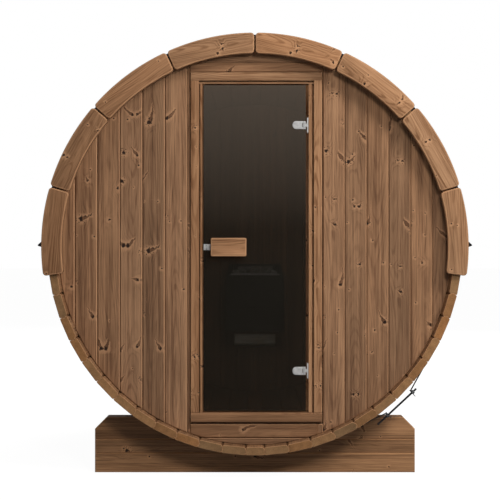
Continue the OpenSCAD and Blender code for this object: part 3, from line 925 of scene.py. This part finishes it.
# black sheet over the ends of the shingles, behind the arches
for name, y in (("front_flashing", -end_y), ("rear_flashing", end_y)):
    y0, y1 = (y + 0.0001, y + 0.0009) if y < 0 else (y - 0.0009, y - 0.0001)
    piece = Piece(name, (DRIP,))
    span = 4 * arch_step - 3.0
    lip = arch_r - 0.006
    outline = arc(lip, 90 - span, 90 + span, 72)
    hem = [(x, z - arch_rise) for x, z in arc(roof_r, 90 + span, 90 - span, 72)]
    piece.add(prism(lifted(outline + hem, axis_z + arch_rise), y0, y1))
    piece.make("body", "drip_metal")


# ---------------------------------------------------------------- shingles
def shingle_tab(piece, y0, y1, a_low, a_high, lift):
    """Thin curved tab: its lower edge lies one layer higher than its upper edge."""
    thick = 0.0034
    n = 5
    inner_line, outer_line = [], []
    for i in range(n + 1):
        f = i / n
        a = a_low + (a_high - a_low) * f
        r = roof_r + 0.0012 + lift * (1 - f)
        inner_line.append(polar(r, a))
        outer_line.append(polar(r + thick, a))
    bm = prism(lifted(outer_line + inner_line[::-1], axis_z), y0, y1, curved=True)
    piece.add(bm, None, tone=rng.random())


def shingle_side(name, side, node):
    piece = Piece(name, (SHINGLE,))
    low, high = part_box(node)
    y0, y1 = low[1], high[1]
    start, exposure = 3.0, 8.05
    tab_w = 0.333
    slot_w = 0.006
    underlay = arc(roof_r + 0.0012, start, 90, 40) + arc(roof_r, 90, start, 40)
    bm = prism([(side * x, z + axis_z) for x, z in underlay], y0, y1, curved=True)
    piece.add(bm, None, tone=0.3)
    row = 0
    a = start
    while a < 84.5:
        a_top = min(a + exposure * 1.5, 88.6)
        y = y0 - (tab_w / 2 if row % 2 else 0)
        while y < y1 - 0.004:
            t0, t1 = max(y + slot_w / 2, y0), min(y + tab_w - slot_w / 2, y1)
            if t1 - t0 > 0.01:
                d = rng.uniform(-0.12, 0.12)
                lo, hi = a + (d if row else 0), a_top
                if side < 0:
                    lo, hi = 180 - lo, 180 - hi
                shingle_tab(piece, t0, t1, lo, hi, 0.0042)
            y += tab_w
        row += 1
        a += exposure
    if side > 0:
        # caps along the ridge, each lapping the one behind it
        cap_w = 0.15
        step = (y1 - y0) / 12
        for i in range(12):
            half = math.degrees(cap_w / roof_r)
            f0, f1 = y0 + i * step, y0 + (i + 1) * step
            bm = prism(lifted(arc(roof_r + 0.0118, 90 - half, 90 + half, 14)
                              + arc(roof_r + 0.0086, 90 + half, 90 - half, 14), axis_z),
                       f0 + 0.0015, min(f1 + 0.02, y1), curved=True)
            tilt = 0.0036
            for v in bm.verts:
                v.co.z += tilt * (1 - (v.co.y - f0) / step) - tilt * 0.2
            piece.add(bm, None, tone=rng.random())
    piece.make("body", "shingle", node)


shingle_side("shingles_left", -1, "roof_cover_left")
shingle_side("shingles_right", 1, "roof_cover_right")


# ---------------------------------------------------------------- hoops, rods and cradles
def rod_piece(name, node, hoop_node):
    """Threaded rod with hexagonal nuts and washers outside the hoop's lugs."""
    low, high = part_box(hoop_node)
    y = (low[1] + high[1]) / 2
    lug = math.radians(-lug_angle)
    out = Vector((math.cos(lug), 0, math.sin(lug)))
    run = Vector((-out.z, 0, out.x))
    mid = Vector((0, y, axis_z)) + out * rod_at
    r, pitch = 0.005, 0.0015
    length0, length1 = -0.108, 0.150
    turns = int((length1 - length0 - 0.002) / pitch)
    profile = [(0, 0), (0, r * 0.72), (0.001, r * 0.82)]
    for i in range(turns):
        profile += [(0.001 + pitch * (i + 0.1), r * 0.93), (0.001 + pitch * (i + 0.5), r)]
    profile += [(length1 - length0, r * 0.75), (length1 - length0, 0)]
    piece = Piece(name, (ROD, NUT))
    piece.add(lathe(profile, mid - run * length1, run, 12, smooth=False))
    for s in (1, -1):
        at = mid + run * (s * 0.0803)
        piece.add(lathe([(0, 0), (0, 0.0110), (0.0016, 0.0110), (0.0016, 0)], at, run * s, 24),
                  material=1)
        nut = bmesh.new()
        bmesh.ops.create_cone(nut, cap_ends=True, segments=6, radius1=0.0098, radius2=0.0098,
                              depth=0.008)
        rims = [e for e in nut.edges if abs(e.verts[0].co.z - e.verts[1].co.z) < 1e-6]
        bmesh.ops.bevel(nut, geom=rims, offset=0.0007, segments=1, affect="EDGES")
        turn = run.to_track_quat("Z", "Y").to_matrix()
        for v in nut.verts:
            v.co = turn @ v.co + at + run * (s * (0.0016 + 0.004))
        piece.add(nut, material=1)
    piece.make("body", "rod_steel", node)


rod_piece("front_rod", "front_tension_rod", "front_hoop")
rod_piece("rear_rod", "rear_tension_rod", "rear_hoop")


def cradle_plank(piece, z0, z1, y0, y1, cut):
    """One plank of a cradle, cut out under the barrel. May come out in two pieces."""
    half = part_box("front_cradle")[1][0]
    r = barrel_r + 0.0006
    seat = lambda z: math.sqrt(max(r * r - (axis_z - z) ** 2, 0.0))
    if seat(z0) > 0:
        for s in (1, -1):
            inner_line = [(s * seat(z0 + (z1 - z0) * i / 8), z0 + (z1 - z0) * i / 8)
                          for i in range(9)]
            outer_line = [(s * (half - cut), z1), (s * half, z1 - cut)] if cut \
                else [(s * half, z1)]
            bm = prism(inner_line + outer_line + [(s * half, z0)], y0, y1, near=0.0032,
                       far=0.0032)
            piece.add(bm, (X, Z, Y), ends=(1, X))
        return
    reach = seat(z1)
    dip = []
    if reach > 0:
        a = math.degrees(math.asin(reach / r))
        dip = lifted(arc(r, -90 + a, -90 - a, 24), axis_z)
    bm = prism([(-half, z0), (half, z0), (half, z1)] + dip + [(-half, z1)], y0, y1,
               near=0.0032, far=0.0032)
    piece.add(bm, (X, Z, Y), ends=(1, X))


for name, node in (("front_cradle_planks", "front_cradle"), ("rear_cradle_planks",
                                                             "rear_cradle")):
    low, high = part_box(node)
    piece = Piece(name, (CRADLE, CRADLE_END))
    cradle_plank(piece, low[2], 0.0974, low[1], high[1], 0)
    cradle_plank(piece, 0.0986, 0.1654, low[1], high[1], 0)
    cradle_plank(piece, 0.1666, high[2], low[1], high[1], 0.059)
    piece.make("body", "cradle_wood", node)


# ---------------------------------------------------------------- heater
low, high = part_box("heater_body")
hy0, hy1 = low[1], high[1] - 0.04
piece = Piece("heater_housing", (HEATER, STEEL))
top, side_x = high[2], high[0]
tray_z, tray_half, tray_back = top - 0.065, 0.147, 0.040
neck, drop = 0.024, 0.095
at_tray = side_x - neck * (drop - 0.065) / drop
shape = [(-side_x, low[2]), (side_x, low[2]), (side_x, top - drop)]
piece.add(prism(shape + [(at_tray, tray_z), (-at_tray, tray_z), (-side_x, top - drop)],
                hy0, hy1 - tray_back + 0.001, near=0.006, segs=3))
piece.add(prism(shape + [(side_x - neck, top), (neck - side_x, top), (-side_x, top - drop)],
                hy1 - tray_back, hy1, near=0.002, far=0.004, segs=2))
for sign in (1, -1):
    cheek = ((tray_half, tray_z - 0.003), (at_tray, tray_z - 0.003), (side_x - neck, top),
             (tray_half, top))
    piece.add(prism([(sign * x, z) for x, z in cheek], hy0 + 0.001, hy1 - tray_back + 0.001,
                    near=0.003, segs=2))
piece.add(block((-0.158, hy0 - 0.003, tray_z - 0.005), (0.158, hy0 + 0.006, tray_z + 0.006),
                0.002, 3), material=1)
for i in range(9):
    z = low[2] + 0.045 + i * 0.013
    slot_x = 0.125
    outline = [(z, hy0), (z + 0.006, hy0 - 0.0045), (z + 0.008, hy0 - 0.0045),
               (z + 0.009, hy0 + 0.001), (z, hy0 + 0.001)]
    piece.add(prism(outline, -slot_x, slot_x, put_at=lambda x, y, z: Vector((y, z, x))))
for x in (-0.09, 0.06):
    piece.add(block((x, hy1 - 0.001, low[2] + 0.06), (x + 0.03, high[1], low[2] + 0.24), 0.002))
piece.make("body", "heater_metal", "heater_body")

s_low, s_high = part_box("heater_stones")
piece = Piece("stones", (STONE,))
for z, shrink, cols, rows in ((s_low[2] + 0.010, 0.0, 6, 4), (s_low[2] + 0.034, 0.035, 5, 3)):
    for i in range(cols):
        for j in range(rows):
            fx, fy = (i + 0.5) / cols, (j + 0.5) / rows
            cx = s_low[0] + shrink + (s_high[0] - s_low[0] - 2 * shrink) * fx
            cy = s_low[1] + shrink + (s_high[1] - s_low[1] - 2 * shrink) * fy
            size = rng.uniform(0.019, 0.026)
            stone = bmesh.new()
            bmesh.ops.create_icosphere(stone, subdivisions=3, radius=1.0)
            stretch = Vector((rng.uniform(0.9, 1.35), rng.uniform(0.85, 1.2),
                              rng.uniform(0.62, 0.9)))
            seed = Vector((rng.uniform(0, 40), rng.uniform(0, 40), rng.uniform(0, 40)))
            turn = Matrix.Rotation(rng.uniform(0, 6.28), 3, "Z") \
                @ Matrix.Rotation(rng.uniform(-0.5, 0.5), 3, "X")
            at = Vector((cx + rng.uniform(-0.006, 0.006), cy + rng.uniform(-0.006, 0.006), z))
            for v in stone.verts:
                d = v.co.normalized()
                lump = 1 + 0.22 * mathutils_noise.noise(d * 1.6 + seed) \
                    + 0.05 * mathutils_noise.noise(d * 6 + seed)
                v.co = turn @ Vector(d[k] * stretch[k] for k in range(3)) * (lump * size) + at
            for f in stone.faces:
                f.smooth = True
            piece.add(stone, None, tone=rng.random())
piece.make("body", "stone", "heater_stones")


# ---------------------------------------------------------------- door hardware
def handle_piece(name, node):
    low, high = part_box(node)
    piece = Piece(name, (TRIM,))
    near, far = (0.006, 0.001) if name == "handle_front" else (0.001, 0.006)
    bm = prism(rect(low[0], low[2], high[0], high[2]), low[1], high[1], near, far, segs=3,
               corner=0.007)
    piece.add(bm, (X, Z, Y))
    piece.make("door", "trim_wood", node)


handle_piece("handle_front", "handle_outside")
handle_piece("handle_back", "handle_inside")


def clamp_piece(name, node):
    """Two rounded plates on the glass, with the knuckles and two screws."""
    low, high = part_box(node)
    mid = (low[2] + high[2]) / 2
    half = (high[2] - low[2]) / 2
    piece = Piece(name, (STEEL, NUT))
    x0, x1 = low[0], 0.230
    for y0, y1, near, far in ((low[1], glass_low[1], 0.0014, 0.0),
                              (glass_high[1], high[1], 0.0, 0.0014)):
        bend = 0.018
        outline = arc(bend, 180, 270, 9, x0 + bend, mid - half + bend) \
            + [(x1, mid - half), (x1, mid + half)] \
            + arc(bend, 90, 180, 9, x0 + bend, mid + half - bend)
        piece.add(prism(outline, y0, y1, near=near, far=far, segs=3))
        inset = 0.006
        cover = arc(bend - inset, 180, 270, 9, x0 + bend, mid - half + bend) \
            + [(x1 - 0.004, mid - half + inset), (x1 - 0.004, mid + half - inset)] \
            + arc(bend - inset, 90, 180, 9, x0 + bend, mid + half - bend)
        if near > 0:
            piece.add(prism(cover, y0 - 0.0007, y0 + 0.001, near=0.0005))
        else:
            piece.add(prism(cover, y1 - 0.001, y1 + 0.0007, far=0.0005))
    for z0, z1 in ((mid - half, mid - 0.0085), (mid + 0.0085, mid + half)):
        r, e = 0.0085, 0.0008
        piece.add(lathe([(0, 0), (0, r - e), (e, r), (z1 - z0 - e, r), (z1 - z0, r - e),
                         (z1 - z0, 0)], Vector((pin.x, pin.y, z0)), Z, 28))
        piece.add(block((0.227, pin.y - 0.006, z0), (pin.x - 0.001, pin.y + 0.006, z1), 0.0006))
    for dz in (-0.0105, 0.0105):
        piece.add(screw_head(Vector((x0 + 0.022, high[1] + 0.0007, mid + dz)), Y), material=1)
    piece.make("door", "steel", node)


clamp_piece("clamp_upper", "hinge_clamp_upper")
clamp_piece("clamp_lower", "hinge_clamp_lower")


def plate_piece(name, node):
    """Plate on the frame with the fixed knuckle and two screws."""
    low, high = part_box(node)
    mid = (low[2] + high[2]) / 2
    piece = Piece(name, (STEEL, NUT))
    plate_x = 0.2535
    piece.add(block((plate_x, low[1] + 0.0045, low[2]), (high[0], high[1], high[2]), 0.0012, 3))
    r, e, h = 0.0085, 0.0006, 0.008
    piece.add(lathe([(0, 0), (0, r - e), (e, r), (2 * h - e, r), (2 * h, r - e), (2 * h, 0)],
                    Vector((pin.x, pin.y, mid - h)), Z, 28))
    piece.add(block((pin.x + 0.001, pin.y - 0.004, mid - h), (plate_x + 0.001, pin.y + 0.004,
                                                              mid + h), 0.0006))
    for dz in (-0.026, 0.026):
        piece.add(screw_head(Vector((plate_x, pin.y + 0.030, mid + dz)), -X, 0.004),
                  material=1)
    piece.make("body", "steel", node)


plate_piece("plate_upper", "hinge_plate_upper")
plate_piece("plate_lower", "hinge_plate_lower")

low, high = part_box("catch_strap")
piece = Piece("strap", (STEEL, NUT))
piece.add(prism(rect(low[0], low[2], high[0], high[2]), low[1], high[1], near=0.0008, segs=2))
for dz in (-0.009, 0.009):
    piece.add(screw_head(Vector(((low[0] + high[0]) / 2 - 0.004, low[1],
                                 (low[2] + high[2]) / 2 + dz)), -Y, 0.0034, 0.0012), material=1)
piece.make("door", "steel", "catch_strap")


# ---------------------------------------------------------------- nodes that keep their CAD shape
def dress(node, material, bevel=0.0):
    obj = frame["nodes"][node]
    for s in obj.material_slots:
        s.material = material
    if not obj.material_slots:
        obj.data.materials.append(material)
    if bevel:
        mod = obj.modifiers.new("edge", "BEVEL")
        mod.width = bevel
        mod.segments = 2
        mod.limit_method = "ANGLE"


dress("door_glass", GLASS, 0.0009)
for node in ("drip_edge_left", "drip_edge_right"):
    dress(node, DRIP, 0.0015)
for node in ("front_hoop", "rear_hoop"):
    dress(node, HOOP, 0.0004)


# ---------------------------------------------------------------- studio
def sky(strength, gloss):
    world = bpy.data.worlds.new("studio")
    bpy.context.scene.world = world
    world.use_nodes = True
    t = world.node_tree
    t.nodes.clear()
    out = t.nodes.new("ShaderNodeOutputWorld")
    white = t.nodes.new("ShaderNodeBackground")
    soft = t.nodes.new("ShaderNodeBackground")
    mix = t.nodes.new("ShaderNodeMixShader")
    path = t.nodes.new("ShaderNodeLightPath")
    _, _, z = split(t, t.nodes.new("ShaderNodeTexCoord").outputs["Generated"])
    ramp = mapped(t, z, 0.015, 0.14, 0.02, 1.0)
    put(t, xyz(t, ramp, ramp * 0.99, ramp * 0.97), soft.inputs["Color"])
    put(t, mapped(t, path.outputs["Is Glossy Ray"], 0, 1, strength, gloss), soft.inputs["Strength"])
    t.links.new(path.outputs["Is Camera Ray"], mix.inputs[0])
    t.links.new(soft.outputs[0], mix.inputs[1])
    t.links.new(white.outputs[0], mix.inputs[2])
    white.inputs["Color"].default_value = (1, 1, 1, 1)
    t.links.new(mix.outputs[0], out.inputs[0])


def floor():
    mesh = bpy.data.meshes.new("floor")
    bm = bmesh.new()
    bmesh.ops.create_grid(bm, x_segments=1, y_segments=1, size=60.0)
    for v in bm.verts:
        v.co.z = -0.0015
    bm.to_mesh(mesh)
    bm.free()
    obj = bpy.data.objects.new("floor", mesh)
    bpy.context.scene.collection.objects.link(obj)
    m = bpy.data.materials.new("floor")
    m.use_nodes = True
    t = m.node_tree
    t.nodes.clear()
    out = t.nodes.new("ShaderNodeOutputMaterial")
    mix = t.nodes.new("ShaderNodeMixShader")
    matt = t.nodes.new("ShaderNodeBsdfDiffuse")
    glow = t.nodes.new("ShaderNodeEmission")
    path = t.nodes.new("ShaderNodeLightPath")
    glow.inputs[1].default_value = 1.12
    pale = mapped(t, path.outputs["Is Camera Ray"], 0, 1, 0.4, 0.9)
    put(t, xyz(t, pale, pale, pale), matt.inputs[0])
    put(t, maths(t, "MULTIPLY", path.outputs["Is Camera Ray"], 0.86), mix.inputs[0])
    t.links.new(matt.outputs[0], mix.inputs[1])
    t.links.new(glow.outputs[0], mix.inputs[2])
    t.links.new(mix.outputs[0], out.inputs[0])
    mesh.materials.append(m)
    obj.visible_glossy = False


def area_light(name, at, target, size, watts, colour=(1, 1, 1)):
    lamp = bpy.data.lights.new(name, "AREA")
    lamp.shape = "DISK"
    lamp.size = size
    lamp.energy = watts
    lamp.color = colour
    obj = bpy.data.objects.new(name, lamp)
    obj.location = at
    obj.rotation_euler = (Vector(target) - Vector(at)).to_track_quat("-Z", "Y").to_euler()
    obj.visible_camera = obj.visible_glossy = False
    bpy.context.scene.collection.objects.link(obj)


sky(0.165, 0.85)
floor()
front_y = -end_y
area_light("key", (0.9, front_y - 3.8, 2.3), (0, front_y, 1.1), 0.8, 68, (1, 0.985, 0.96))
area_light("high", (2.8, front_y - 3.4, 4.1), (0.3, front_y, 1.5), 1.8, 160, (1, 0.985, 0.96))
area_light("back", (1.5, end_y + 6.5, 4.5), (0, end_y, 1.1), 3.5, 420)
area_light("inside", (0.15, front_y + 0.35, 1.45), (0, end_y, 1.0), 0.7, 9)

camera = bpy.data.cameras.new("camera")
camera.sensor_width = 36.0
camera.lens = 87.5
camera.shift_x = -0.0098
camera.shift_y = -0.004
camera.dof.use_dof = False
cam = bpy.data.objects.new("camera", camera)
cam.location = (0.0, -end_y - 5.85, axis_z)
cam.rotation_euler = (math.radians(90), 0, 0)
bpy.context.scene.collection.objects.link(cam)
bpy.context.scene.camera = cam
bpy.context.scene.view_settings.view_transform = "Standard"
